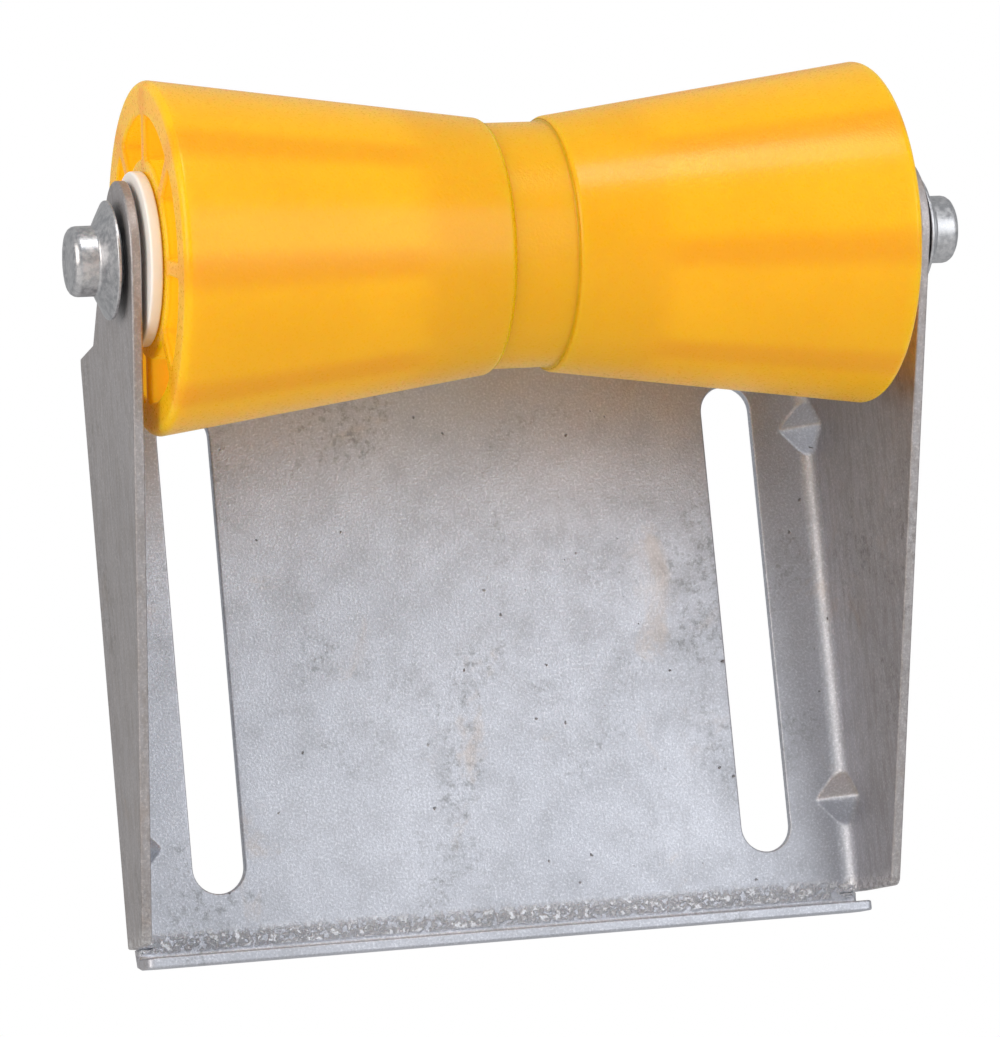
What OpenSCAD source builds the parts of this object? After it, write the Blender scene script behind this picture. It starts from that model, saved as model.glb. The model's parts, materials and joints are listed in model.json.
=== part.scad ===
// Bow roller: a moulded spool roller on a 5/8 inch shaft between the ears of a folded steel bracket.
// X runs along the shaft, Y points away from the roller through the back plate, Z is up.
// The origin is the centre of the back face of the plate, midway between the two bolt slots.

/* [Sheet metal] */
// Thickness of the galvanised sheet
sheet_t = 2.7; // [2.5:0.1:3.2]
// Inner radius of the bend between plate and ear
bend_r = 3; // [2.8:0.1:3.2]
// Angle by which each ear leans outward from square
ear_splay = 2; // [0:0.25:3]

/* [Back plate] */
// Width across the outside of the two bends
base_w = 205.5; // [200:0.5:220]
// Height of the top edge of the plate above the origin
plate_top = 78.7; // [74:0.1:84]
// Depth of the underside of the bottom lip below the origin
plate_bottom = 82.2; // [81:0.1:88]
// Reach of the bottom lip in front of the back face
lip_depth = 15.4; // [12:0.1:18]
// Width of the bottom lip
lip_w = 199.6; // [190:0.2:200]
// Inner radius of the bend between plate and lip
lip_bend_r = 1.3; // [1:0.1:2]
// Corner radius at the two free ends of the lip
lip_corner_r = 2; // [1:0.5:4]

/* [Bolt slots] */
// Width of a bolt slot
slot_w = 14; // [12:0.1:15]
// Length of a bolt slot, end to end
slot_len = 127.6; // [110:0.1:135]
// Distance between the centre lines of the two slots
slot_spacing = 152.2; // [140:0.1:156]

/* [Ears] */
// Distance of the shaft axis in front of the back face
shaft_y = 72.5; // [70:0.1:78]
// Height of the shaft axis above the origin
shaft_z = 92; // [90:0.1:100]
// Radius of the rounded tip of an ear
tip_r = 18.5; // [16:0.1:20]
// Height of the centre of the tip above the shaft axis
tip_rise = 1.3; // [0:0.1:2]
// Reach of the ear in front of the back face at its lower end
ear_foot_y = 27.5; // [24:0.1:32]
// Depth of the lower edge of the ear below the origin
ear_bottom = 76.6; // [74:0.1:78]
// Reach of the flat shoulder from which the rear edge of the ear rises
shoulder_y = 27.3; // [22:0.1:32]
// Corner radius at the lower front end of the ear
ear_corner_r = 3; // [1:0.5:5]

/* [Stiffening darts] */
// Height of each dart above or below the origin
dart_z = 51; // [45:0.5:56]
// Leg of a dart along the plate and along the ear
dart_leg = 9; // [7:0.5:10]
// Half the height of a dart
dart_half_h = 10; // [6:0.1:11]
// Leg of the dent that each dart leaves outside the bend
dent_leg = 5.5; // [4.5:0.5:7]

/* [Roller] */
// Length of the roller
roller_len = 191.3; // [185:0.1:192]
// Diameter over the large ends
roller_d = 88.9; // [84:0.1:92]
// Diameter at the small end of each cone
waist_d = 65.8; // [60:0.1:70]
// Diameter of the groove in the middle
groove_d = 62.8; // [58:0.1:64]
// Width of the groove in the middle
groove_w = 16.6; // [12:0.1:20]
// Radius that rounds the rims and the step into the groove
rim_r = 2; // [1:0.25:3]
// Sideways play already taken up: how far the roller sits from the middle, toward the left ear
roller_offset = 2.5; // [0:0.1:2.6]
// Diameter of the hub inside each end
hub_d = 50; // [46:0.5:54]
// Thickness of the outer wall around the end pockets
wall_t = 8.4; // [7:0.1:10]
// Depth of the end pockets
pocket_depth = 64; // [20:1:66]
// Number of ribs between hub and outer wall
rib_count = 8; // [4:1:10]
// Thickness of a rib
rib_t = 4; // [2:0.1:5]
// Turn of the first rib from the top, toward the front
rib_phase = 16; // [0:1:44]

/* [Shaft and bushings] */
// Diameter of the shaft, 5/8 inch
shaft_d = 15.88; // [15.5:0.01:16.2]
// Length of the shaft
shaft_len = 233.8; // [230:0.1:240]
// Radial clearance of each running fit
fit_gap = 0.08; // [0.02:0.01:0.1]
// Diameter of the bushing's flange
flange_d = 43.9; // [40:0.1:46]
// Thickness of the bushing's flange
flange_t = 3; // [2.5:0.1:3.2]
// Outer diameter of the bushing's sleeve
sleeve_d = 22; // [20:0.1:26]
// Length of the bushing's sleeve
sleeve_len = 24; // [15:1:30]
// Axial gap between the flange and the end of the roller
thrust_gap = 0.3; // [0.3:0.05:0.5]

/* [Shaft caps] */
// Thickness of the cap's sheet
cap_t = 0.9; // [0.7:0.1:1.1]
// Distance of the closed end of each cap from the middle of the shaft
cap_end = 117.8; // [117.6:0.1:120]
// Length of the straight part of the cap, rounding included
cap_len = 7.2; // [6:0.1:8]
// Radius that rounds the closed end
cap_round_r = 2.2; // [1:0.1:3]
// Diameter of the dished brim
brim_d = 29.9; // [28:0.1:32]
// Depth of the dished brim
brim_rise = 2.6; // [2:0.1:3]
// Number of teeth on the lock ring inside each cap
tooth_count = 6; // [5:1:8]
// Thickness of the lock ring
ring_t = 0.6; // [0.5:0.1:0.8]

/* [Hidden] */
$fn = 96;

eps = 0.01;                                  // overlap that keeps joined solids one piece
reach = 400;                                 // longer than any cut needs to be

bend_out = bend_r + sheet_t;                 // outer radius of the ear bends
bend_x = base_w / 2 - bend_out;              // centre line of each ear bend
lip_out = lip_bend_r + sheet_t;              // outer radius of the lip bend
lap_from = 30;                               // the two strips of an ear bend overlap
lap_to = 60;                                 // between these two angles
dart_root = 0.3;                             // how far a bump reaches into the corner's metal
bore_r = shaft_d / 2 + fit_gap;              // radius of every hole the shaft runs in
shaft_chamfer = 1;                           // chamfer on each end of the shaft
sleeve_chamfer = 1;                          // lead-in on the inner end of a bushing's sleeve
flange_chamfer = 0.4;                        // chamfer on the rim of a bushing's flange

end_z = roller_len / 2;                      // half of the roller, from its middle
groove_z = groove_w / 2;
hub_r = hub_d / 2;
pocket_r = roller_d / 2 - wall_t;            // outer radius of the pockets at the end face
cone_slope = (roller_d - waist_d) / 2 / (end_z - groove_z);
flange_x = end_z + thrust_gap;               // inner face of each bushing's flange

cap_r = shaft_d / 2 + cap_t;                 // outer radius of the cap
brim_r = brim_d / 2;
brim_x = cap_end - cap_len - brim_rise;      // outer face of the brim at its edge
brim_slope = brim_rise / (brim_r - cap_r);
ring_gap = 0.1;                              // space between the brim and the lock ring
ring_inset = 2.6;                            // how far the lock ring stays inside the brim's edge
ring_r = brim_r - ring_inset;
tooth_len = 2.2;                             // length of a tooth, from the shaft outward
tooth_gap = 1.4;                             // width of the slit between two teeth

// Points along an arc about a centre, from angle a to angle b
function arc_points(centre, r, a, b, steps = 8) =
    [for (i = [0:steps]) centre + r * [cos(a + (b - a) * i / steps), sin(a + (b - a) * i / steps)]];

// Direction, in degrees, from a circle's centre to the point where a line from p touches the circle
function tangent_angle(centre, r, p, side) =
    atan2(p[1] - centre[1], p[0] - centre[0]) + side * acos(r / norm(p - centre));

// ---- bracket ----

// A strip of sheet bent from angle a to angle b about the origin
module bend_section(r, a, b) {
    outer = r + sheet_t;
    mid = (a + b) / 2;
    intersection() {
        difference() {
            circle(outer);
            circle(r);
        }
        polygon([[0, 0],
                 2 * outer * [cos(a), sin(a)],
                 2 * outer * [cos(mid), sin(mid)],
                 2 * outer * [cos(b), sin(b)]]);
    }
}

// A long slot with round ends, upright about the origin
module slot_outline() {
    straight = slot_len - slot_w;
    square([slot_w, straight], center = true);
    for (side = [-1, 1]) translate([0, side * straight / 2]) circle(d = slot_w);
}

// The flat plate with its slots, and the narrower strip below the ears
module back_plate() {
    foot_z = lip_out - plate_bottom;
    rotate([90, 0, 0]) linear_extrude(sheet_t) difference() {
        union() {
            translate([-bend_x, -ear_bottom]) square([2 * bend_x, ear_bottom + plate_top]);
            translate([-lip_w / 2, foot_z]) square([lip_w, -ear_bottom - foot_z + eps]);
        }
        for (side = [-1, 1]) translate([side * slot_spacing / 2, 0]) slot_outline();
    }
}

// The bottom lip, seen from above: its two free corners are rounded
module lip_outline() {
    half_w = lip_w / 2;
    reach_y = lip_depth - lip_out;
    left = arc_points([lip_corner_r - half_w, lip_corner_r - reach_y], lip_corner_r, 180, 270);
    right = arc_points([half_w - lip_corner_r, lip_corner_r - reach_y], lip_corner_r, 270, 360);
    polygon(concat([[-half_w, 0]], left, right, [[half_w, 0]]));
}

module bottom_lip() {
    translate([-lip_w / 2, -lip_out, lip_out - plate_bottom])
        rotate([90, 0, 90]) linear_extrude(lip_w) bend_section(lip_bend_r, 270, 360);
    translate([0, -lip_out, -plate_bottom]) linear_extrude(sheet_t) lip_outline();
}

// The flat of an ear: x is the distance from the bend toward the front, y is the height
module ear_outline() {
    foot_x = ear_foot_y - bend_out;
    tip = [shaft_y - bend_out, shaft_z + tip_rise];
    shoulder = [shoulder_y - bend_out, plate_top];
    foot = [foot_x, -ear_bottom];
    front = tangent_angle(tip, tip_r, foot, 1);
    rear = tangent_angle(tip, tip_r, shoulder, -1);
    corner = foot + ear_corner_r * [-tan(45 + front / 2), 1];
    polygon(concat([[0, plate_top], [0, -ear_bottom]],
                   arc_points(corner, ear_corner_r, -90, front),
                   [tip + tip_r * [cos(front), sin(front)],
                    tip + tip_r * [cos(rear), sin(rear)],
                    shoulder]));
    translate(tip) circle(tip_r);
}

// One ear with its bend, on the +X side. The bend is two overlapping strips: one starts square to
// the plate, and the other, turned with the ear, starts square to the ear.
module ear() {
    height = ear_bottom + plate_top;
    translate([bend_x, -bend_out, -ear_bottom]) {
        linear_extrude(height) bend_section(bend_r, lap_from, 90);
        rotate([0, 0, ear_splay]) {
            linear_extrude(height) bend_section(bend_r, 0, lap_to);
            translate([bend_out, 0, ear_bottom])
                rotate([90, 0, -90]) linear_extrude(sheet_t) ear_outline();
        }
    }
}

// A four-sided dart across a corner: its ridge joins a point on the plate to one on the ear
module dart(leg, half_h, back) {
    polyhedron(
        points = [[-leg, 0, 0], [0, -leg, 0], [back, back, half_h], [back, back, -half_h]],
        faces = [[0, 2, 1], [0, 1, 3], [0, 3, 2], [1, 2, 3]]);
}

// The bumps that the darts raise inside one bend
module dart_bumps() {
    for (side = [-1, 1]) translate([base_w / 2 - sheet_t, -sheet_t, side * dart_z])
        dart(dart_leg, dart_half_h, dart_root);
}

// The dents that the darts leave outside one bend
module dart_dents() {
    for (side = [-1, 1]) translate([base_w / 2, 0, side * dart_z])
        dart(dent_leg, dart_half_h * dent_leg / dart_leg, sheet_t);
}

module bracket() {
    color("lightsteelblue") difference() {
        union() {
            back_plate();
            bottom_lip();
            for (side = [0, 1]) mirror([side, 0, 0]) {
                ear();
                dart_bumps();
            }
        }
        for (side = [0, 1]) mirror([side, 0, 0]) dart_dents();
        on_axis() cylinder(r = bore_r, h = reach, center = true);
    }
}

// ---- turning parts, drawn about +Z and laid along +X ----

// Lays a part drawn about +Z on the shaft axis, with its middle at the given X
module on_axis(x = 0) {
    translate([x, -shaft_y, shaft_z]) rotate([0, 90, 0]) children();
}

// Half of the roller's outline, from its middle to one end, with a rounded rim and groove step
function roller_outline() =
    let (rim_z = end_z - rim_r, r_end = roller_d / 2, step = (waist_d - groove_d) / 2)
    concat([[groove_d / 2, 0]],
           arc_points([groove_d / 2 + step / 2, groove_z - step / 2], step / 2, 180, 90, 4),
           arc_points([waist_d / 2 - step / 2, groove_z + step / 2], step / 2, -90, 0, 4),
           arc_points([r_end - rim_r, rim_z], rim_r, 0, 90, 8));

// The ring of pockets at one end, cut by the ribs
module end_pockets() {
    floor_z = end_z - pocket_depth;
    floor_r = pocket_r - cone_slope * pocket_depth;
    difference() {
        rotate_extrude() polygon([[hub_r, floor_z], [floor_r, floor_z],
                                  [pocket_r, end_z], [pocket_r, roller_len], [hub_r, roller_len]]);
        for (i = [0:rib_count - 1])
            rotate([0, 0, rib_phase + i * 360 / rib_count]) translate([0, -rib_t / 2, 0])
                cube([roller_d, rib_t, roller_len]);
    }
}

module roller() {
    color("goldenrod") on_axis(-roller_offset) difference() {
        for (side = [0, 1]) mirror([0, 0, side]) difference() {
            rotate_extrude() polygon(concat([[0, 0]], roller_outline(), [[0, end_z]]));
            end_pockets();
        }
        cylinder(d = sleeve_d + 2 * fit_gap, h = reach, center = true);
    }
}

// A flanged bushing whose sleeve points down into the roller
module bushing() {
    sleeve_r = sleeve_d / 2;
    flange_r = flange_d / 2;
    tail = flange_x - sleeve_len;
    face = flange_x + flange_t;
    rotate_extrude() polygon([
        [bore_r, tail], [sleeve_r - sleeve_chamfer, tail], [sleeve_r, tail + sleeve_chamfer],
        [sleeve_r, flange_x], [flange_r, flange_x], [flange_r, face - flange_chamfer],
        [flange_r - flange_chamfer, face], [bore_r, face]]);
}

module bushing_left() {
    color("whitesmoke") on_axis(-roller_offset) mirror([0, 0, 1]) bushing();
}

module bushing_right() {
    color("whitesmoke") on_axis(-roller_offset) bushing();
}

module shaft() {
    half = shaft_len / 2;
    r = shaft_d / 2;
    color("silver") on_axis() rotate_extrude() polygon([
        [0, -half], [r - shaft_chamfer, -half], [r, shaft_chamfer - half],
        [r, half - shaft_chamfer], [r - shaft_chamfer, half], [0, half]]);
}

// A cap pressed over the shaft's end, with a dished brim that faces the ear
module cap() {
    inner_end = cap_end - cap_t;
    inner_round = cap_round_r - cap_t;
    neck_z = cap_end - cap_len;
    rotate_extrude() polygon(concat(
        [[0, inner_end]],
        arc_points([shaft_d / 2 - inner_round, inner_end - inner_round], inner_round, 90, 0, 4),
        [[shaft_d / 2, neck_z - cap_t], [brim_r, brim_x - cap_t], [brim_r, brim_x], [cap_r, neck_z]],
        arc_points([cap_r - cap_round_r, cap_end - cap_round_r], cap_round_r, 0, 90, 6),
        [[0, cap_end]]));
}

module cap_left() {
    color("gainsboro") on_axis() mirror([0, 0, 1]) cap();
}

module cap_right() {
    color("gainsboro") on_axis() cap();
}

// A dished lock ring whose teeth bite the shaft, held against the inside of the cap's brim
module lock_ring() {
    outer_z = brim_x - cap_t - ring_gap;
    dish = (ring_r - shaft_d / 2) * brim_slope;
    difference() {
        rotate_extrude() polygon([[shaft_d / 2, outer_z + dish - ring_t], [ring_r, outer_z - ring_t],
                                  [ring_r, outer_z], [shaft_d / 2, outer_z + dish]]);
        for (i = [0:tooth_count - 1])
            rotate([0, 0, i * 360 / tooth_count]) translate([0, -tooth_gap / 2, 0])
                cube([shaft_d / 2 + tooth_len, tooth_gap, cap_end]);
    }
}

module lock_ring_left() {
    color("darkgray") on_axis() mirror([0, 0, 1]) lock_ring();
}

module lock_ring_right() {
    color("darkgray") on_axis() lock_ring();
}

bracket();
roller();
bushing_left();
bushing_right();
shaft();
cap_left();
cap_right();
lock_ring_left();
lock_ring_right();
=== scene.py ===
"""The looks of the bow roller: fine meshes, materials, studio light and the camera.

Lengths are millimetres in the row frame, and make_piece() turns them into metres.
The shaft runs along X, +Y points out of the back of the bracket, and Z is up.
"""
import json
import math

import bmesh
import bpy
import numpy as np
from mathutils import Matrix, Vector
from mathutils.geometry import delaunay_2d_cdt


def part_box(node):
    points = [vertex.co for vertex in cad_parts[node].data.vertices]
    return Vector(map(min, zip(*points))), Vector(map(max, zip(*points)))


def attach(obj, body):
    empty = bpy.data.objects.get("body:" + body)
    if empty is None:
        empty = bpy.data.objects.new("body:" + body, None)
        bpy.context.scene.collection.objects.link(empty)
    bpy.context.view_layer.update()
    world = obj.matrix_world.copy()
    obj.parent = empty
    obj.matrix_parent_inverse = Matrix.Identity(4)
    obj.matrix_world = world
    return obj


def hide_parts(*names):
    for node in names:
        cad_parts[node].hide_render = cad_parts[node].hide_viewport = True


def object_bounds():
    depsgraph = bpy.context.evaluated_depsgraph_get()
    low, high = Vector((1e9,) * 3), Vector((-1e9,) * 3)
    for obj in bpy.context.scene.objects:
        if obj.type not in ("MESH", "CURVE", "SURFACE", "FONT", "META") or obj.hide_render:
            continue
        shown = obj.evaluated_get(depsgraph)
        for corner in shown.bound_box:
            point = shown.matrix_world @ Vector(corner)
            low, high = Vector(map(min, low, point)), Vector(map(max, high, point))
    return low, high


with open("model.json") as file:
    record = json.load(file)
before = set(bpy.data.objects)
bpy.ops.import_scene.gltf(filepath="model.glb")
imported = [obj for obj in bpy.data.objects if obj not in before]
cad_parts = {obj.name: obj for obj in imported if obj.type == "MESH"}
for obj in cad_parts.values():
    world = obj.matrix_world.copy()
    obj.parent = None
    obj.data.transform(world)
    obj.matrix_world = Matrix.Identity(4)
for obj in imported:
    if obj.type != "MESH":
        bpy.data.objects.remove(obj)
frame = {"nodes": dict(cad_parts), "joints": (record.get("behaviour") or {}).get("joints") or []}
cad_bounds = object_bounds()

MM = 0.001


# ---- sizes that the frame states ----

def corners(node):
    """Lowest and highest corner of a CAD node, in millimetres."""
    low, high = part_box(node)
    return low / MM, high / MM


PIN = next(Vector(j["pos_m"]) / MM for j in frame["joints"] if j["name"] == "axle_spin")
BRACKET_LOW = corners("bracket")[0]
ROLLER_LOW, ROLLER_HIGH = corners("roller")
ROLLER_X = (ROLLER_LOW.x + ROLLER_HIGH.x) / 2
ROLLER_HALF = (ROLLER_HIGH.x - ROLLER_LOW.x) / 2
ROLLER_R = (ROLLER_HIGH.z - ROLLER_LOW.z) / 2
SHAFT_R = (corners("shaft")[1].z - corners("shaft")[0].z) / 2
CAP_LOW, CAP_HIGH = corners("cap_right")
CAP_END = CAP_HIGH.x
BRIM_R = (CAP_HIGH.z - CAP_LOW.z) / 2
FLANGE_LOW, FLANGE_HIGH = corners("bushing_right")
FLANGE_R = (FLANGE_HIGH.z - FLANGE_LOW.z) / 2

# ---- sizes that the CAD source holds, under the names that it uses ----

SHEET_T = 2.7
EAR_SPLAY = math.radians(2)
BASE_W = 205.5
LIP_DEPTH = 15.4
LIP_W = 199.6
LIP_BEND_R = 1.3
LIP_CORNER_R = 2.0
SLOT_W = 14.0
SLOT_LEN = 127.6
SLOT_SPACING = 152.2
TIP_R = 18.5
TIP_RISE = 1.3
EAR_FOOT_Y = 27.5
EAR_BOTTOM = 76.6
PLATE_TOP = 78.7
PLATE_BOTTOM = -BRACKET_LOW.z
SHOULDER_Y = 27.3
EAR_CORNER_R = 3.0
DART_Z = 51.0
DART_LEG = 9.0
DART_HALF_H = 10.0
DART_ROOT = 0.3
DENT_LEG = 5.5
WAIST_R = 32.9
GROOVE_R = 31.4
GROOVE_HALF = 8.3
RIM_R = 2.0
HUB_R = 25.0
WALL_T = 8.4
POCKET_DEPTH = 64.0
RIB_COUNT = 8
RIB_T = 4.0
RIB_PHASE = math.radians(16)
FIT_GAP = 0.08
SLEEVE_R = 11.0
FLANGE_T = 3.0
CAP_T = 0.9
CAP_LEN = 7.2
CAP_ROUND_R = 2.2
BRIM_RISE = 2.6

# ---- sizes that only the visible shapes have, in millimetres ----

BEND_R = 4.5            # inner radius of the ear bends, rounder than the CAD source's 3
EDGE_R = 0.55           # rounding of every cut edge of the sheet
SLIT = 0.06             # gap between each ear's foot and the lip
SLIT_CORNER_R = 0.3
SHOULDER_R = 1.5
DART_RIDGE_R = 0.5      # rounding of each dart's ridge
DART_BLEND = 0.45       # half the width over which a dart blends into the sheet
WALL_ROUND_R = 1.6      # rounding where each cone meets the groove
BORE_ROUND_R = 0.6
POCKET_EDGE = 0.8
POCKET_FLOOR = 1.5
POCKET_CORNER_R = 1.2
ROUND = 192             # points round the roller
DIMPLE = 0.25           # depth of the dimple in each cap's end
GRID = 5                # spacing of the points that fill the sheet's flats
DART_MARGIN = 2         # how far past a dart the fine points go
DART_GRID = 0.5
DART_SIDE_GRID = 0.6
DART_SIDE_POINTS = 17
BEND_COLUMNS = 12
BEND_ROW_GRID = 2.6
RIM_CLEARANCE = 0.35    # how near a fill point may come to an edge

# ---- outlines ----

def arc(centre, r, start, end, steps):
    """Points of an arc, from one angle to another in radians, both ends included."""
    angles = (start + (end - start) * i / steps for i in range(steps + 1))
    return [(centre[0] + r * math.cos(a), centre[1] + r * math.sin(a)) for a in angles]


def fillet(before, corner, after, r, steps=5):
    """The points that round one corner of an outline with radius r."""
    p, a, b = Vector(corner), Vector(before), Vector(after)
    u, v = (a - p).normalized(), (b - p).normalized()
    half = u.angle(v) / 2
    centre = p + (u + v).normalized() * r / math.sin(half)
    touch_a, touch_b = p + u * r / math.tan(half), p + v * r / math.tan(half)
    start = math.atan2(*(touch_a - centre).yx)
    turn = (touch_a - centre).angle_signed(touch_b - centre)
    return arc(centre, r, start, start - turn, steps)


def rounded(points, steps=5):
    """An open outline of (x, y, radius): every point with a radius above 0 becomes a fillet."""
    made = []
    for i, (x, y, r) in enumerate(points):
        if r > 0:
            made += fillet(points[i - 1][:2], (x, y), points[i + 1][:2], r, steps)
        else:
            made.append((x, y))
    return made


def inward(loop):
    """For each point of a closed loop, the mitred normal toward its left side."""
    p = np.array(loop)
    along = np.roll(p, -1, 0) - p
    along /= np.linalg.norm(along, axis=1)[:, None]
    normal = np.stack([-along[:, 1], along[:, 0]], 1)
    before = np.roll(normal, 1, 0)
    return (normal + before) / (1 + (normal * before).sum(1))[:, None]


def inside(points, loops):
    """Which points lie inside an odd number of loops."""
    p = np.asarray(points)
    odd = np.zeros(len(p), bool)
    for loop in loops:
        a = np.asarray(loop)
        b = np.roll(a, -1, 0)
        for (x0, y0), (x1, y1) in zip(a, b):
            if y0 != y1:
                crosses = (y0 > p[:, 1]) != (y1 > p[:, 1])
                odd ^= crosses & (p[:, 0] < (x1 - x0) * (p[:, 1] - y0) / (y1 - y0) + x0)
    return odd


def distance_to(points, loops):
    """Distance from each point to the nearest side of any loop."""
    p = np.asarray(points)
    nearest = np.full(len(p), 1e9)
    for loop in loops:
        a = np.asarray(loop)
        for start, end in zip(a, np.roll(a, -1, 0)):
            side = end - start
            t = np.clip(((p - start) @ side) / (side @ side), 0, 1)
            nearest = np.minimum(nearest, np.linalg.norm(p - start - t[:, None] * side, axis=1))
    return nearest


def triangulate(loops, extra=()):
    """Points and triangles that fill the space inside the first loop and outside the others."""
    points = [p for loop in loops for p in loop] + list(extra)
    edges, base = [], 0
    for loop in loops:
        edges += [(base + i, base + (i + 1) % len(loop)) for i in range(len(loop))]
        base += len(loop)
    found = delaunay_2d_cdt([Vector(p) for p in points], edges, [], 0, 1e-7)
    places = np.array([tuple(v) for v in found[0]])
    faces = np.array(found[2])
    keep = inside(places[faces].mean(1), loops)
    return places.tolist(), [tuple(f) for f in faces[keep].tolist()]


# ---- pieces ----

class Shape:
    """Vertices and faces that are gathered, then welded into one closed mesh."""

    def __init__(self):
        self.points = []
        self.faces = []

    def add(self, points, faces):
        base = len(self.points)
        self.points += [tuple(p) for p in points]
        self.faces += [tuple(base + i for i in f) for f in faces]

    def strip(self, rows):
        """Quads between rows of points: each row is one loop round the piece."""
        n = len(rows[0])
        self.add([p for row in rows for p in row],
                 [(k * n + i, k * n + (i + 1) % n, (k + 1) * n + (i + 1) % n, (k + 1) * n + i)
                  for k in range(len(rows) - 1) for i in range(n)])


def soft_normals(mesh):
    """Vertex normals weighted by face area, so that flats stay flat beside their rounded edges."""
    total = np.zeros((len(mesh.vertices), 3))
    for face in mesh.polygons:
        total[list(face.vertices)] += np.array(face.normal) * face.area
    length = np.linalg.norm(total, axis=1)
    length[length == 0] = 1
    mesh.normals_split_custom_set_from_vertices((total / length[:, None]).tolist())


def make_piece(name, shape, body, material, replaces):
    """Welds a shape into an object that rides on a body and stands for CAD nodes."""
    mesh = bpy.data.meshes.new(name)
    mesh.from_pydata([Vector(p) * MM for p in shape.points], [], shape.faces)
    work = bmesh.new()
    work.from_mesh(mesh)
    bmesh.ops.remove_doubles(work, verts=work.verts, dist=1e-7)
    bmesh.ops.dissolve_degenerate(work, edges=work.edges, dist=1e-7)
    bmesh.ops.recalc_face_normals(work, faces=work.faces)
    work.to_mesh(mesh)
    work.free()
    mesh.shade_smooth()
    soft_normals(mesh)
    mesh.materials.append(material)
    piece = bpy.data.objects.new(name, mesh)
    bpy.context.scene.collection.objects.link(piece)
    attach(piece, body)
    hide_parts(*replaces)
    return piece


def ring(x, r, count, middle=0.0):
    """A circle of points round the shaft axis, starting at the top and turning toward the front."""
    angles = (2 * math.pi * i / count for i in range(count))
    return [(middle + x, PIN.y - r * math.sin(a), PIN.z + r * math.cos(a)) for a in angles]


def lathe(profile, count, middle=0.0):
    """Rows of points for an outline of (x, r) turned round the shaft axis."""
    return [ring(x, r, count, middle) for x, r in profile]


# ---- bracket: a flat pattern with bends, pressed darts and rounded edges ----

BEND_OUT = BEND_R + SHEET_T
BEND_MID = BEND_R + SHEET_T / 2
BEND_X = BASE_W / 2 - BEND_OUT
BEND_TURN = math.pi / 2 - EAR_SPLAY
EAR_U = BEND_X + BEND_MID * BEND_TURN
LIP_OUT = LIP_BEND_R + SHEET_T
LIP_MID = LIP_BEND_R + SHEET_T / 2
FOOT_Z = LIP_OUT - PLATE_BOTTOM
LIP_V = FOOT_Z - LIP_MID * math.pi / 2
BORE_R = SHAFT_R + FIT_GAP


def fold(u, v, w):
    """A flat-pattern point to its folded place: u is across, v is up, w is out of the back."""
    side, reach = (1 if u > 0 else -1), abs(u)
    if v < FOOT_Z:
        turn = min((FOOT_Z - v) / LIP_MID, math.pi / 2)
        beyond = max(LIP_V - v, 0)
        r = LIP_MID + w
        return (u, r * math.cos(turn) - LIP_OUT - beyond, FOOT_Z - r * math.sin(turn))
    if reach < BEND_X:
        return (u, w - SHEET_T / 2, v)
    turn = min((reach - BEND_X) / BEND_MID, BEND_TURN)
    beyond = max(reach - EAR_U, 0)
    r = BEND_MID + w
    x = BEND_X + r * math.sin(turn) + beyond * math.cos(turn)
    y = r * math.cos(turn) - BEND_OUT - beyond * math.sin(turn)
    return (side * x, y, v)


def pressed(point, corner, leg, half_h, root):
    """Moves a point of one skin onto the darts that cross the bends."""
    x, y, z = point
    side = 1 if x > 0 else -1
    across = side * x - corner[0]
    ahead = y - corner[1]
    rise = math.hypot(abs(z) - DART_Z, DART_RIDGE_R) - DART_RIDGE_R
    over = across + ahead + leg - (leg + 2 * root) / half_h * rise
    if over > DART_BLEND:
        push = over
    elif over > -DART_BLEND:
        push = (over + DART_BLEND) ** 2 / (4 * DART_BLEND)
    else:
        return point
    return (x - side * push / 2, y - push / 2, z)


def near_dart(u, v):
    """Whether a flat-pattern point is close enough to a dart to be pressed."""
    return abs(abs(v) - DART_Z) <= DART_HALF_H + DART_MARGIN and abs(abs(u) - BEND_X) <= 2 * DART_LEG


def skin(u, v, w):
    """A point on the front skin (w below 0) or the back skin, with its dart or dent."""
    point = fold(u, v, w)
    if not near_dart(u, v):
        return point
    if w < 0:
        return pressed(point, (BASE_W / 2 - SHEET_T, -SHEET_T), DART_LEG, DART_HALF_H, DART_ROOT)
    return pressed(point, (BASE_W / 2, 0), DENT_LEG, DART_HALF_H * DENT_LEG / DART_LEG, SHEET_T)


def right_half():
    """The flat outline's right half, from the middle of the lip up to the middle of the top edge."""
    lip_end = LIP_V - (LIP_DEPTH - LIP_OUT)
    half = LIP_W / 2
    foot = (EAR_U + EAR_FOOT_Y - BEND_OUT, -EAR_BOTTOM)
    shoulder = (EAR_U + SHOULDER_Y - BEND_OUT, PLATE_TOP)
    tip = (EAR_U - PIN.y - BEND_OUT, PIN.z + TIP_RISE)

    def touch(p, side):
        away = Vector(p) - Vector(tip)
        return math.atan2(away.y, away.x) + side * math.acos(TIP_R / away.length)

    front, rear = touch(foot, 1), touch(shoulder, -1) + 2 * math.pi
    start = (tip[0] + TIP_R * math.cos(front), tip[1] + TIP_R * math.sin(front))
    return (
        rounded([(0, lip_end, 0), (half, lip_end, LIP_CORNER_R),
                 (half, -EAR_BOTTOM - SLIT, SLIT_CORNER_R),
                 (BEND_X, -EAR_BOTTOM - SLIT, 0), (BEND_X, -EAR_BOTTOM, 0),
                 (*foot, EAR_CORNER_R), (*start, 0)])
        + arc(tip, TIP_R, front, rear, 28)
        + rounded([(tip[0] + TIP_R * math.cos(rear), tip[1] + TIP_R * math.sin(rear), 0),
                   (*shoulder, SHOULDER_R), (0, PLATE_TOP, 0)])[:-1]
    )


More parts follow.
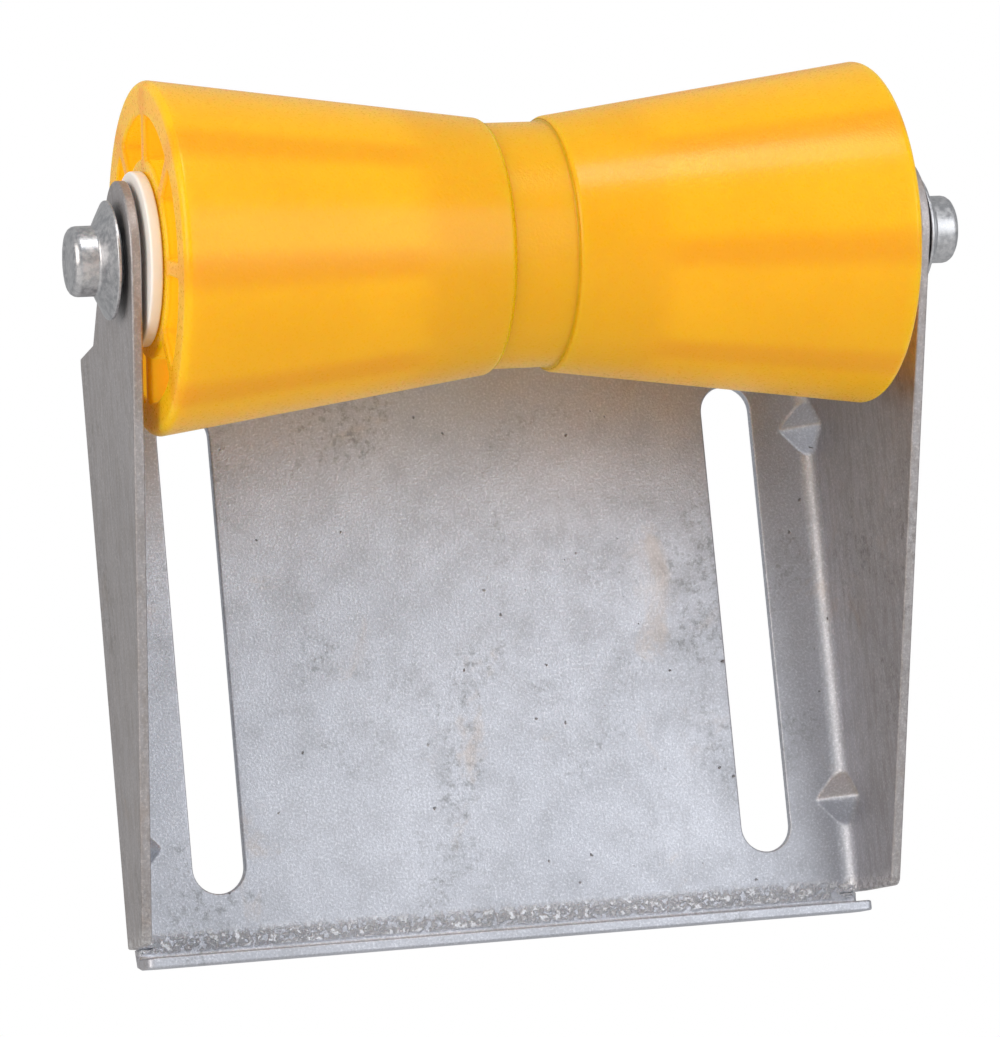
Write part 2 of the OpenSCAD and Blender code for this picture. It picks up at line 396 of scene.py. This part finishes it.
def divided(loop, longest):
    """A closed loop whose long sides are split, so that no side is longer than that."""
    made = []
    for a, b in zip(loop, loop[1:] + loop[:1]):
        n = max(1, math.ceil(math.dist(a, b) / longest))
        made += [(a[0] + (b[0] - a[0]) * i / n, a[1] + (b[1] - a[1]) * i / n) for i in range(n)]
    return made


def pattern_loops():
    """The outline, turning left, then the holes, turning right."""
    raw = right_half()
    half = [p for i, p in enumerate(raw) if i == 0 or math.dist(p, raw[i - 1]) > 1e-6]
    outline = half[1:] + [(-x, y) for x, y in reversed(half[1:])]
    longest_side = 4
    loops = [divided(outline, longest_side)]
    straight = (SLOT_LEN - SLOT_W) / 2
    for side in (-1, 1):
        x = side * SLOT_SPACING / 2
        slot = (arc((x, straight), SLOT_W / 2, math.pi, 0, 20)
                + arc((x, -straight), SLOT_W / 2, 0, -math.pi, 20))
        loops.append(divided(slot, longest_side))
    hole_u = EAR_U + (-PIN.y - BEND_OUT + BEND_MID * math.cos(BEND_TURN)) / math.sin(BEND_TURN)
    for side in (-1, 1):
        loops.append(arc((side * hole_u, PIN.z), BORE_R, 0, -2 * math.pi, 64)[:-1])
    return loops


def bend_grid():
    """Points that let the bends and darts curve: fine across the bends, finest at the darts."""
    points = []
    columns = [BEND_X + (EAR_U - BEND_X) * i / BEND_COLUMNS for i in range(BEND_COLUMNS + 1)]
    rows = np.arange(-EAR_BOTTOM + 2, PLATE_TOP - 1, BEND_ROW_GRID)
    reach = DART_HALF_H + DART_MARGIN
    for u in columns:
        points += [(u, v) for v in rows if abs(abs(v) - DART_Z) > reach + DART_GRID]
    beside = [DART_SIDE_GRID * i for i in range(1, DART_SIDE_POINTS + 1)]
    for middle in (-DART_Z, DART_Z):
        for v in np.arange(middle - reach, middle + reach + 0.1, DART_GRID):
            points += [(u, v) for u in columns]
            points += [(BEND_X - step, v) for step in beside]
            points += [(EAR_U + step, v) for step in beside]
    return points


def flat_grid():
    """Points that fill the plate, the ears and the lip's bend away from the darts."""
    low, plate_high, ear_high, ear_columns = -74, 78, 112, 18
    lip_half, lip_grid, lip_rows = 99, 4, 6
    points = [(x, z) for x in np.arange(-BEND_X + 3, BEND_X - 1, GRID)
              for z in np.arange(low, plate_high, GRID)]
    points += [(s * (EAR_U + 4 + GRID * i), z) for s in (-1, 1) for i in range(ear_columns)
               for z in np.arange(low, ear_high, GRID)]
    points += [(x, FOOT_Z - LIP_MID * math.pi / 2 * k / lip_rows)
               for x in np.arange(-lip_half, lip_half + 0.5, lip_grid) for k in range(lip_rows + 1)]
    return [p for p in points if not near_dart(*p)]


def bracket_shape():
    """The folded sheet: two skins, and a rounded strip along every cut edge."""
    loops = pattern_loops()
    insets = [(EDGE_R * (1 - math.sin(a)), SHEET_T / 2 - EDGE_R * (1 - math.cos(a)))
              for a in (math.pi / 8 * i for i in range(5))]
    insets += [(d, -w) for d, w in reversed(insets)]
    shape = Shape()
    rims = []
    for loop in loops:
        p, n = np.array(loop), inward(loop)
        rims.append([tuple(q) for q in p + n * EDGE_R])
        rows = []
        for d, w in insets:
            flat = p + n * d
            rows.append([skin(u, v, w) if d == EDGE_R else fold(u, v, w) for u, v in flat])
        shape.strip(rows)
    fine = [(s * u, v) for s in (-1, 1) for u, v in bend_grid()]
    extra = np.array(flat_grid() + fine)
    extra = extra[inside(extra, rims) & (distance_to(extra, rims) > RIM_CLEARANCE)]
    points, faces = triangulate(rims, [tuple(p) for p in extra])
    for w in (SHEET_T / 2, -SHEET_T / 2):
        shape.add([skin(u, v, w) for u, v in points], faces)
    return shape


# ---- roller: a lathed outside, a bore, and ribbed pockets in both ends ----

CONE_SLOPE = (ROLLER_R - WAIST_R) / (ROLLER_HALF - GROOVE_HALF)


def pocket_loop(index, depth, grow):
    """One pocket's outline at a depth, as (angle from the top toward the front, radius) points."""
    inner = HUB_R - grow
    outer = ROLLER_R - WALL_T - CONE_SLOPE * depth + grow
    rib = RIB_T / 2 - grow
    first = RIB_PHASE + 2 * math.pi * index / RIB_COUNT
    last = first + 2 * math.pi / RIB_COUNT

    def side(r, start):
        return first + math.asin(rib / r) if start else last - math.asin(rib / r)

    def at(r, angle):
        return (r * math.cos(angle), r * math.sin(angle))

    def swept(r, start, end, steps=14):
        return [at(r, start + (end - start) * i / steps) for i in range(1, steps)]

    corner = min(POCKET_CORNER_R, (outer - inner) * 0.3)
    corners_at = [at(inner, side(inner, True)), at(inner, side(inner, False)),
                  at(outer, side(outer, False)), at(outer, side(outer, True))]
    low = swept(inner, side(inner, True), side(inner, False))
    high = swept(outer, side(outer, False), side(outer, True))
    return (fillet(corners_at[3], corners_at[0], low[0], corner) + low[2:-2]
            + fillet(low[-1], corners_at[1], corners_at[2], corner)
            + fillet(corners_at[1], corners_at[2], high[0], corner) + high[2:-2]
            + fillet(high[-1], corners_at[3], corners_at[0], corner))


def place(points, x):
    """End-face points (toward the top, toward the front) at a place along the shaft."""
    return [(ROLLER_X + x, PIN.y - b, PIN.z + a) for a, b in points]


def half_profile():
    """The roller's outside from the middle of its groove to its right end, as (x, r) points."""
    step = (WAIST_R - GROOVE_R) / 2
    lip_angle, cone_steps = -0.13, 40
    groove_side = arc((GROOVE_R + step, GROOVE_HALF - step), step, math.pi, math.pi / 2, 5)
    shoulder = arc((WAIST_R - WALL_ROUND_R, GROOVE_HALF + WALL_ROUND_R), WALL_ROUND_R,
                   -math.pi / 2, lip_angle, 8)
    half = [(0, GROOVE_R)] + [(x, r) for r, x in groove_side + shoulder]
    (x0, r0), (x1, r1) = half[-1], (ROLLER_HALF - RIM_R, ROLLER_R)
    half += [(x0 + (x1 - x0) * i / cone_steps, r0 + (r1 - r0) * i / cone_steps)
             for i in range(1, cone_steps)]
    rim = arc((ROLLER_R - RIM_R, ROLLER_HALF - RIM_R), RIM_R, 0, math.pi / 2, 10)
    return half + [(x, r) for r, x in rim]


def both_ways(half):
    """A half profile and its mirror image, without a repeated point where they meet at x = 0."""
    return [(-x, r) for x, r in reversed(half) if x > 0] + half


def roller_shape():
    """The spool: its outside, its bore, two end faces and the ribbed pockets."""
    shape = Shape()
    shape.strip(lathe(both_ways(half_profile()), ROUND, ROLLER_X))
    bore = SLEEVE_R + FIT_GAP
    mouth_r = bore + BORE_ROUND_R
    bore_edge = arc((mouth_r, 0), BORE_ROUND_R, math.pi, math.pi / 2, 4)
    bore_half = [(ROLLER_HALF - BORE_ROUND_R + x, r) for r, x in bore_edge]
    shape.strip(lathe(both_ways(bore_half), ROUND, ROLLER_X))
    rim = arc((0, 0), ROLLER_R - RIM_R, 0, 2 * math.pi, ROUND)[:-1]
    mouth = arc((0, 0), mouth_r, 0, 2 * math.pi, ROUND)[:-1]
    depths = [(POCKET_EDGE * (1 - math.cos(a)), POCKET_EDGE * (1 - math.sin(a)))
              for a in (math.pi / 8 * i for i in range(5))]
    depths += [(POCKET_DEPTH * k / 6, 0) for k in range(1, 6)]
    floor_flare = 0.6
    depths += [(POCKET_DEPTH - POCKET_FLOOR * (1 - math.sin(a)),
                -POCKET_FLOOR * (1 - math.cos(a)) * floor_flare)
               for a in (math.pi / 8 * i for i in range(5))]
    pockets = [[pocket_loop(i, d, g) for d, g in depths] for i in range(RIB_COUNT)]
    points, faces = triangulate([rim, mouth] + [rows[0] for rows in pockets])
    for end in (-1, 1):
        shape.add(place(points, end * ROLLER_HALF), faces)
        for rows in pockets:
            shape.strip([place(row, end * (ROLLER_HALF - d)) for row, (d, _) in zip(rows, depths)])
            floor = place(rows[-1], end * (ROLLER_HALF - POCKET_DEPTH))
            shape.add(floor, [tuple(range(len(floor)))])
    return shape


# ---- bushings, caps ----

def turned(profile, mirrored, middle=0.0, count=128):
    """A closed outline of (x, r, corner radius) turned round the axis; mirrored swaps the ends."""
    sign = -1 if mirrored else 1
    shape = Shape()
    rows = lathe([(sign * x, r) for x, r in rounded_loop(profile)], count, middle)
    shape.strip(rows + rows[:1])
    return shape


def rounded_loop(points, steps=4):
    """A closed outline of (x, y, radius) with its corners rounded."""
    made = []
    for i, (x, y, r) in enumerate(points):
        before, after = points[i - 1][:2], points[(i + 1) % len(points)][:2]
        made += fillet(before, (x, y), after, r, steps) if r > 0 else [(x, y)]
    return made


def bushing_profile():
    """The right bushing as (x from the roller's middle, r, corner radius) points."""
    inner = FLANGE_LOW.x - ROLLER_X
    face = FLANGE_HIGH.x - ROLLER_X
    back = face - FLANGE_T
    bore = SHAFT_R + FIT_GAP
    return [(inner, bore, 0), (inner, SLEEVE_R - 1, 0), (inner + 1, SLEEVE_R, 0), (back, SLEEVE_R, 0),
            (back, FLANGE_R, 0.5), (face, FLANGE_R, 0.6), (face, bore, 0.4)]


def cap_profile():
    """The right cap as (x, r, corner radius) points, from its inside round to its dimpled end."""
    neck = CAP_END - CAP_LEN
    cap_r = SHAFT_R + CAP_T
    brim_x = neck - BRIM_RISE
    inner_round = CAP_ROUND_R - CAP_T
    dimple_x = CAP_END - DIMPLE
    return [(CAP_END - CAP_T, 0, 0), (CAP_END - CAP_T, SHAFT_R, inner_round),
            (neck - CAP_T, SHAFT_R, 0.5),
            (brim_x - CAP_T, BRIM_R, 0.25), (brim_x, BRIM_R, 0.3), (neck - 0.5, cap_r + 2.2, 2.5),
            (neck + 0.6, cap_r, 0.8), (CAP_END, cap_r, CAP_ROUND_R),
            (CAP_END, cap_r - 3.4, 0.4), (dimple_x, cap_r - 4.0, 0.4), (dimple_x, 0, 0)]


# ---- materials ----

class Material:
    """A node material with one Principled shader, and short ways to add and link nodes."""

    def __init__(self, name, **sockets):
        self.material = bpy.data.materials.new(name)
        self.material.use_nodes = True
        self.tree = self.material.node_tree
        self.shader = self.tree.nodes["Principled BSDF"]
        for key, value in sockets.items():
            self.shader.inputs[key.replace("_", " ")].default_value = value
        self.place = self.add("ShaderNodeTexCoord").outputs["Object"]

    def add(self, kind, inputs=None, **settings):
        node = self.tree.nodes.new(kind)
        for key, value in settings.items():
            setattr(node, key, value)
        for key, value in (inputs or {}).items():
            socket = node.inputs[key]
            if isinstance(value, bpy.types.NodeSocket):
                self.tree.links.new(value, socket)
            else:
                socket.default_value = value
        return node

    def noise(self, scale, detail=4.0, rough=0.55, stretch=None, distortion=0.0):
        vector = self.place
        if stretch:
            vector = self.add("ShaderNodeVectorMath", {0: self.place, 1: stretch},
                              operation="MULTIPLY").outputs[0]
        node = self.add("ShaderNodeTexNoise", {"Vector": vector, "Scale": scale, "Detail": detail,
                                               "Roughness": rough, "Distortion": distortion})
        return node.outputs["Fac"]

    def ramp(self, value, low, high, out_low=0.0, out_high=1.0):
        node = self.add("ShaderNodeMapRange", {"Value": value, "From Min": low, "From Max": high,
                                               "To Min": out_low, "To Max": out_high})
        node.interpolation_type = "SMOOTHSTEP"
        return node.outputs["Result"]

    def math(self, operation, a, b=0.5):
        return self.add("ShaderNodeMath", {0: a, 1: b}, operation=operation).outputs[0]

    def mix(self, amount, a, b, blend="MIX"):
        node = self.add("ShaderNodeMix", data_type="RGBA", blend_type=blend)
        for key, value in ((0, amount), (6, a), (7, b)):
            if isinstance(value, bpy.types.NodeSocket):
                self.tree.links.new(value, node.inputs[key])
            else:
                node.inputs[key].default_value = value
        return node.outputs[2]

    def axis(self, name):
        return self.add("ShaderNodeSeparateXYZ", {0: self.place}).outputs[name]

    def colour(self, socket):
        self.tree.links.new(socket, self.shader.inputs["Base Color"])

    def roughness(self, socket):
        self.tree.links.new(socket, self.shader.inputs["Roughness"])

    def bump(self, height, distance, strength=1.0):
        node = self.add("ShaderNodeBump", {"Height": height, "Distance": distance, "Strength": strength})
        self.tree.links.new(node.outputs[0], self.shader.inputs["Normal"])


def rgb(code):
    """A linear colour from an sRGB hex code."""
    parts = [int(code[i:i + 2], 16) / 255 for i in (0, 2, 4)]
    return tuple(p / 12.92 if p <= 0.04045 else ((p + 0.055) / 1.055) ** 2.4 for p in parts) + (1,)


def galvanised_steel():
    """Dull zinc with a fine grain, speckled stains, tan patches, pits and a crust beside the lip.

    The ears are also tinted warm, for the light that the amber throws on them.
    """
    m = Material("galvanised_steel", Metallic=0.85)
    broad = m.noise(16, 4, 0.6)
    cloud = m.noise(110, 6, 0.7)
    grain = m.noise(1500, 3, 0.7)
    tone = m.mix(m.ramp(broad, 0.3, 0.7), rgb("BCC0CB"), rgb("CBCFDA"))
    tone = m.mix(m.ramp(cloud, 0.45, 0.75, 0, 0.35), tone, rgb("A6ABB2"))
    tone = m.mix(m.ramp(grain, 0.3, 0.7, 0.5, 0), tone, rgb("A3A7AE"))
    tone = m.mix(m.ramp(grain, 0.5, 0.75, 0, 0.5), tone, rgb("EDF0F5"))
    tan = m.ramp(m.noise(30, 5, 0.65, distortion=0.8), 0.58, 0.72, 0, 0.4)
    tone = m.mix(tan, tone, rgb("C8B8AA"))
    stain = m.math("MULTIPLY", m.ramp(m.noise(24, 5, 0.65, distortion=0.5), 0.5, 0.64),
                   m.ramp(m.noise(420, 8, 0.8), 0.48, 0.62))
    tone = m.mix(m.math("MULTIPLY", stain, 0.55), tone, rgb("77797B"))
    x, z = m.axis("X"), m.axis("Z")
    on_ear = m.ramp(m.math("ABSOLUTE", x), 0.0985, 0.101)
    streaks = m.ramp(m.noise(520, 4, 0.6, stretch=(1, 1, 0.2)), 0.42, 0.62)
    tone = m.mix(m.math("MULTIPLY", m.math("MULTIPLY", on_ear, streaks), 0.25), tone, rgb("8D8780"))
    tone = m.mix(m.math("MULTIPLY", on_ear, 0.55), tone, rgb("D8C6B4"), "MULTIPLY")
    beside_lip = m.math("MULTIPLY", m.ramp(z, -0.0755, -0.0715, 1, 0), m.ramp(z, -0.0785, -0.0775))
    crust = m.math("MULTIPLY", beside_lip, m.ramp(m.noise(420, 5, 0.75), 0.42, 0.6))
    tone = m.mix(m.math("MULTIPLY", crust, 0.45), tone, rgb("F2F4F7"))
    wobble = m.add("ShaderNodeTexNoise", {"Vector": m.place, "Scale": 900.0, "Detail": 3.0}).outputs["Color"]
    shift = m.add("ShaderNodeVectorMath", {0: wobble, 1: (0.0016, 0.0016, 0.0016)}, operation="MULTIPLY")
    place = m.add("ShaderNodeVectorMath", {0: m.place, 1: shift.outputs[0]}, operation="ADD").outputs[0]
    cells = m.add("ShaderNodeTexVoronoi", {"Vector": place, "Scale": 260.0, "Randomness": 1.0})
    chosen = m.ramp(m.add("ShaderNodeSeparateColor", {0: cells.outputs["Color"]}).outputs[0], 0.84, 0.9)
    pits = m.math("MULTIPLY", m.ramp(cells.outputs["Distance"], 0.04, 0.13, 1, 0), chosen)
    tone = m.mix(m.math("MULTIPLY", pits, 0.7), tone, rgb("5C5852"))
    m.colour(tone)
    m.roughness(m.ramp(cloud, 0.3, 0.7, 0.42, 0.52))
    relief = m.math("ADD", m.math("MULTIPLY", grain, 0.5), m.math("MULTIPLY", cloud, 0.6))
    relief = m.math("ADD", relief, m.math("MULTIPLY", crust, 1.2))
    m.bump(m.math("SUBTRACT", relief, pits), 0.0002)
    return m.material


def amber_elastomer():
    """Amber with subsurface scattering and a painted glow, brightest inside the pockets.

    The darker bands where the ribs meet the wall are painted shade, the ribs' shade seen through the wall.
    The pocketed ends are painted lighter than the solid middle, as painted light through the thin wall. Both
    are painted by position.
    """
    m = Material("amber_elastomer", Roughness=0.3, Subsurface_Weight=1.0, Subsurface_Scale=0.012,
                 Subsurface_Radius=(1.0, 0.45, 0.05), IOR=1.33, Emission_Strength=1.0,
                 Coat_Weight=0.12, Coat_Roughness=0.14)
    x, y, z = m.axis("X"), m.axis("Y"), m.axis("Z")
    front = m.math("MULTIPLY", m.math("SUBTRACT", y, PIN.y * MM), -1)
    turn = m.math("ARCTAN2", front, m.math("SUBTRACT", z, PIN.z * MM))
    pitch = 2 * math.pi / RIB_COUNT
    phase = m.math("SUBTRACT", turn, RIB_PHASE - pitch / 2)
    off_rib = m.math("ABSOLUTE", m.math("SUBTRACT", m.math("FLOORED_MODULO", phase, pitch), pitch / 2))
    # Painted shade: darker orange bands at the rib angles, the ribs' shade seen through the wall.
    rib = m.ramp(off_rib, 0.03, 0.16, 1, 0)
    from_middle = m.math("ABSOLUTE", m.math("SUBTRACT", x, ROLLER_X * MM))
    floor_x = ROLLER_HALF - POCKET_DEPTH
    # Painted light: the pocketed ends, where the wall is thin, are coloured lighter than the solid middle.
    hollow = m.ramp(from_middle, (floor_x - 5) * MM, (floor_x + 5) * MM)
    cloud = m.ramp(m.noise(26, 3), 0.3, 0.7)
    lit_through_wall = m.mix(cloud, rgb("E8B008"), rgb("ECB60A"))
    deep = m.mix(cloud, rgb("E4A607"), rgb("E8AC08"))
    rib_shaded = m.mix(m.math("MULTIPLY", rib, 0.7), lit_through_wall, rgb("E09906"))
    m.colour(m.mix(hollow, deep, rib_shaded))
    up = m.math("SUBTRACT", z, PIN.z * MM)
    radius = m.math("SQRT", m.math("ADD", m.math("POWER", front, 2), m.math("POWER", up, 2)))
    depth = m.math("SUBTRACT", ROLLER_HALF * MM, from_middle)
    wall = m.math("SUBTRACT", (ROLLER_R - WALL_T + 0.4) * MM, m.math("MULTIPLY", depth, CONE_SLOPE))
    under_wall = m.math("LESS_THAN", radius, wall)
    over_hub = m.math("GREATER_THAN", radius, (HUB_R - 0.4) * MM)
    inside_end = m.ramp(depth, 0.3 * MM, 1.5 * MM)
    above_floor = m.math("LESS_THAN", depth, (POCKET_DEPTH + 1) * MM)
    in_pocket = m.math("MULTIPLY", m.math("MULTIPLY", under_wall, over_hub),
                       m.math("MULTIPLY", inside_end, above_floor))
    # Painted glow: an amber emission everywhere, stronger on the pocket surfaces, standing in for light
    # scattered through the amber.
    glow = m.mix(in_pocket, (0.08, 0.05, 0.0, 1), (0.3, 0.21, 0.01, 1))
    m.tree.links.new(glow, m.shader.inputs["Emission Color"])
    peel = m.noise(1300, 2, 0.5)
    m.roughness(m.ramp(peel, 0.3, 0.7, 0.26, 0.36))
    m.bump(peel, 0.00007)
    return m.material


def white_nylon():
    """Warm white plastic with a little scattering."""
    m = Material("white_nylon", Roughness=0.4, Subsurface_Weight=0.5, Subsurface_Scale=0.003,
                 Subsurface_Radius=(1.0, 0.8, 0.7))
    m.colour(m.mix(m.ramp(m.noise(60, 3), 0.35, 0.65), rgb("F7F1EC"), rgb("FDF9F5")))
    m.bump(m.noise(900, 3), 0.00003)
    return m.material


def plated_steel(name, dark, light, rough):
    """Bright metal with a cloudy tone between two colours, given as sRGB hex codes."""
    m = Material(name, Metallic=1.0)
    cloud = m.noise(700, 5, 0.65)
    m.colour(m.mix(m.ramp(cloud, 0.35, 0.65), rgb(dark), rgb(light)))
    m.roughness(m.ramp(cloud, 0.3, 0.7, rough - 0.06, rough + 0.1))
    m.bump(m.noise(1600, 3, 0.6), 0.00002)
    return m.material


# ---- the object ----

def repaint(node, material):
    """Gives a carried-over CAD node a material of this script."""
    materials = frame["nodes"][node].data.materials
    materials.clear()
    materials.append(material)


steel = galvanised_steel()
amber = amber_elastomer()
nylon = white_nylon()
zinc = plated_steel("zinc_plated_steel", "AEB0B4", "CDCED1", 0.34)
rod = plated_steel("shaft_steel", "8A8C90", "B0B2B6", 0.3)
spring = plated_steel("spring_steel", "4A4C50", "6A6C70", 0.35)

make_piece("bracket_sheet", bracket_shape(), "bracket", steel, ["bracket"])
make_piece("roller_spool", roller_shape(), "roller", amber, ["roller"])
for side, mirrored in (("left", True), ("right", False)):
    make_piece(f"flanged_bushing_{side}", turned(bushing_profile(), mirrored, ROLLER_X),
               f"{side}_bushing", nylon, [f"bushing_{side}"])
    make_piece(f"push_cap_{side}", turned(cap_profile(), mirrored), "axle",
               zinc, [f"cap_{side}"])
    repaint(f"lock_ring_{side}", spring)
repaint("shaft", rod)

# ---- studio ----

def area_light(name, azimuth, elevation, distance, size, power, colour=(1, 1, 1)):
    """A softbox that looks at the middle of the object from a direction given in degrees."""
    a, e = math.radians(azimuth), math.radians(elevation)
    away = Vector((math.sin(a) * math.cos(e), -math.cos(a) * math.cos(e), math.sin(e)))
    data = bpy.data.lights.new(name, "AREA")
    data.shape = "SQUARE"
    data.size = size
    data.energy = power
    data.color = colour
    light = bpy.data.objects.new(name, data)
    bpy.context.scene.collection.objects.link(light)
    light.location = (cad_bounds[0] + cad_bounds[1]) / 2 + away * distance
    light.rotation_euler = away.to_track_quat("Z", "Y").to_euler()


def studio():
    """Three softboxes, and a white surround that lights the object at half its visible strength."""
    area_light("key_light", azimuth=4, elevation=50, distance=1.3, size=0.42, power=3.6)
    area_light("side_light", azimuth=35, elevation=5, distance=1.4, size=0.9, power=5.4)
    area_light("left_light", azimuth=-62, elevation=14, distance=1.2, size=0.8, power=7,
               colour=(1, 0.91, 0.82))
    world = bpy.data.worlds.new("studio")
    bpy.context.scene.world = world
    world.use_nodes = True
    tree = world.node_tree
    background = tree.nodes["Background"]
    path = tree.nodes.new("ShaderNodeLightPath")
    strength = tree.nodes.new("ShaderNodeMapRange")
    tree.links.new(path.outputs["Is Camera Ray"], strength.inputs["Value"])
    strength.inputs["To Min"].default_value = 0.5
    strength.inputs["To Max"].default_value = 1.0
    tree.links.new(strength.outputs["Result"], background.inputs["Strength"])
    background.inputs["Color"].default_value = (1, 1, 1, 1)


def floor():
    """A plain pale floor, well below the object. The size and height are in metres."""
    size, height = 6.0, -0.30
    mesh = bpy.data.meshes.new("floor")
    places = [(-size, -size), (size, -size), (size, size), (-size, size)]
    mesh.from_pydata([(x, y, height) for x, y in places], [], [(0, 1, 2, 3)])
    plane = bpy.data.objects.new("floor", mesh)
    bpy.context.scene.collection.objects.link(plane)
    m = Material("floor_white", Roughness=0.9)
    m.colour(m.mix(m.ramp(m.noise(3, 2), 0.3, 0.7), (0.82, 0.82, 0.82, 1), (0.86, 0.86, 0.86, 1)))
    mesh.materials.append(m.material)


CAMERA_PLACE = (-0.35415, -1.20267, -0.12375)   # metres
CAMERA_ANGLES = (-16.84, -7.03, -5.27)          # azimuth, elevation and roll, in degrees
CAMERA_LENS = 163.1                             # millimetres


def camera():
    """The main view: below the object's level, turned to its left, and rolled a little."""
    azimuth, elevation, roll = (math.radians(angle) for angle in CAMERA_ANGLES)
    right = Vector((math.cos(azimuth), math.sin(azimuth), 0))
    back = Vector((math.sin(azimuth) * math.cos(elevation), -math.cos(azimuth) * math.cos(elevation),
                   math.sin(elevation)))
    up = back.cross(right)
    x = right * math.cos(roll) + up * math.sin(roll)
    y = up * math.cos(roll) - right * math.sin(roll)
    data = bpy.data.cameras.new("camera")
    data.sensor_width = 36
    data.lens = CAMERA_LENS
    data.clip_start, data.clip_end = 0.05, 20
    cam = bpy.data.objects.new("camera", data)
    bpy.context.scene.collection.objects.link(cam)
    turn = Matrix((x, y, back)).transposed().to_4x4()
    cam.matrix_world = Matrix.Translation(CAMERA_PLACE) @ turn
    bpy.context.scene.camera = cam


studio()
floor()
camera()
bpy.context.scene.view_settings.view_transform = "Standard"
